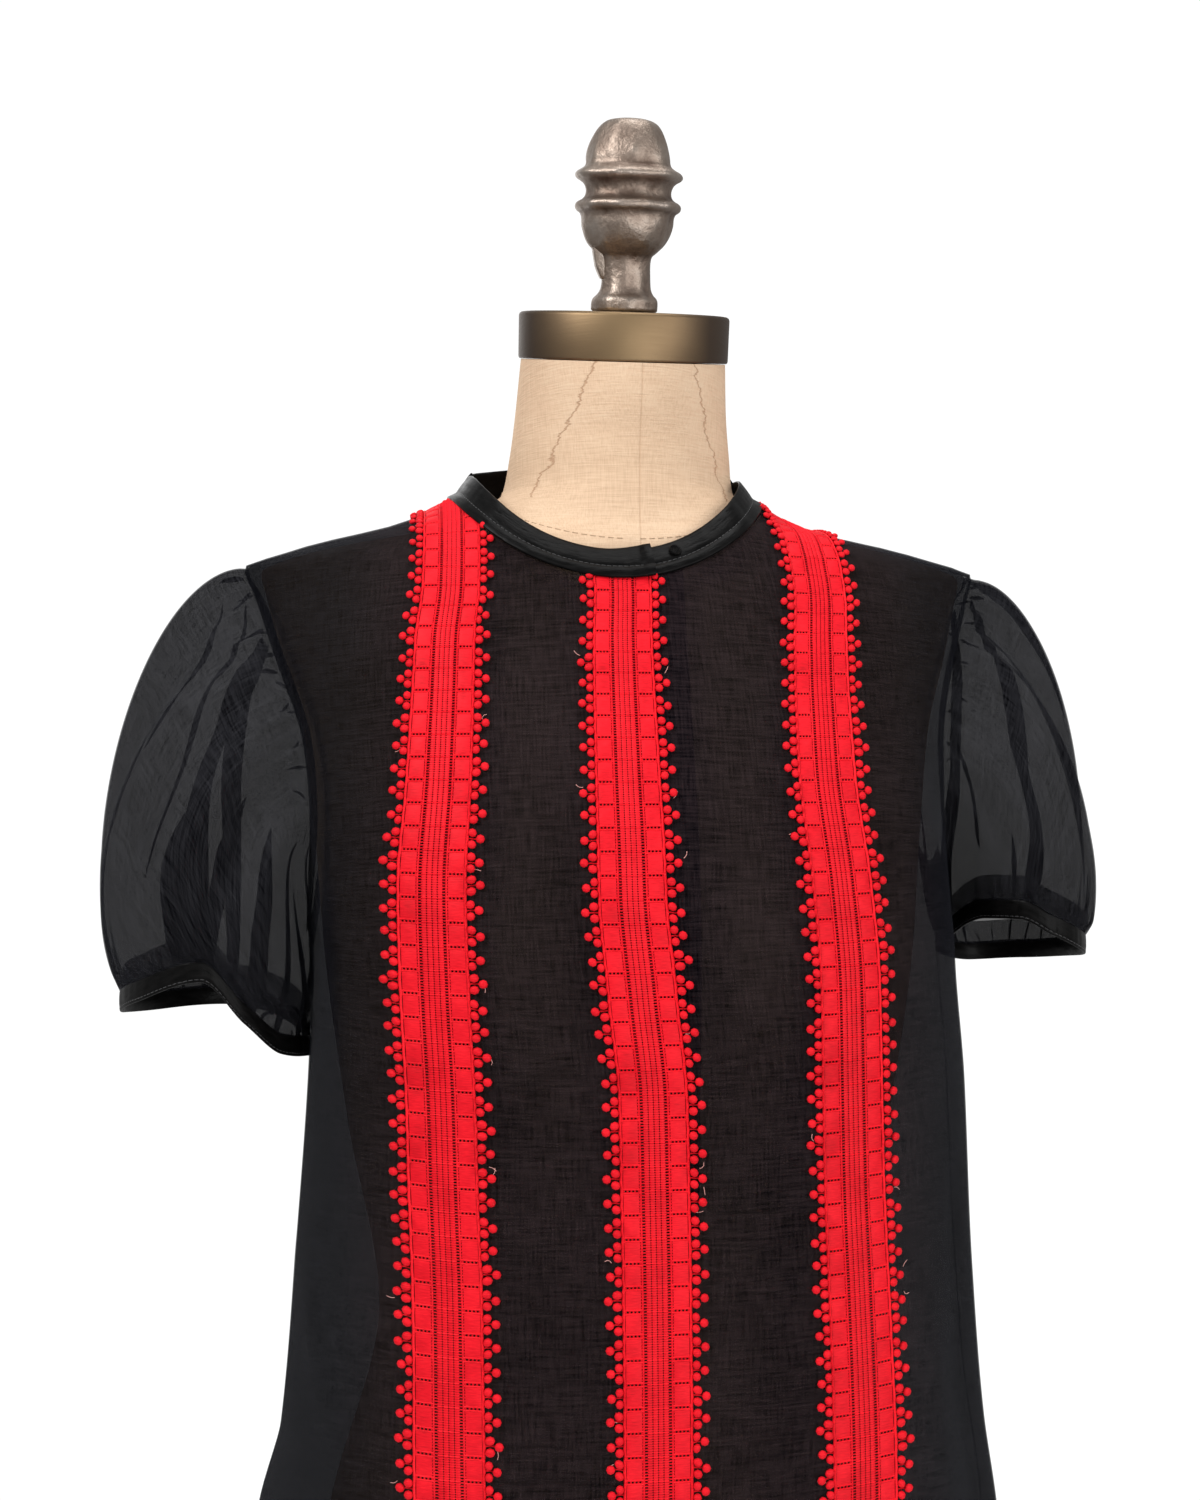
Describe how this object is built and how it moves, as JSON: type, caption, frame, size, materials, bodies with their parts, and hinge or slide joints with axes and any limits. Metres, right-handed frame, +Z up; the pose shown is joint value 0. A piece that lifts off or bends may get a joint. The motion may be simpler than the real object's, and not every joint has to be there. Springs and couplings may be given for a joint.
{
  "type": "lace blouse on a dress form",
  "caption": "Sheer black blouse with red lace strips, puff sleeves and a narrow band collar, worn by a limbless linen dress form with a metal finial and a round base.",
  "frame": {"origin": "middle of the stand base's flat underside", "axes": "+Z up, -Y towards the front of the blouse, +X to the right in a front view"},
  "size_m": [0.4937, 0.28, 1.0013],
  "materials": {
    "sheer_black_cloth": "sheer matte weave",
    "red_lace": "satin-stitched lace",
    "black_leather_cloth": "soft satin",
    "linen": "matte plain weave",
    "brushed_brass": "brushed, aged",
    "cast_metal": "aged, satin",
    "painted_steel": "satin black"
  },
  "bodies": {
    "root": {"blouse_front": "sheer_black_cloth", "blouse_back": "sheer_black_cloth", "sleeve_left": "sheer_black_cloth", "sleeve_right": "sheer_black_cloth", "cuff_left": "black_leather_cloth", "cuff_right": "black_leather_cloth", "collar_band": "black_leather_cloth", "collar_button": "black_leather_cloth", "placket_underlap": "sheer_black_cloth", "lace_strip_left": "red_lace", "lace_strip_middle": "red_lace", "lace_strip_right": "red_lace", "form_torso": "linen", "neck_cap": "brushed_brass", "finial": "cast_metal", "stand_pole": "painted_steel", "stand_base": "painted_steel"}
  },
  "joints": []
}
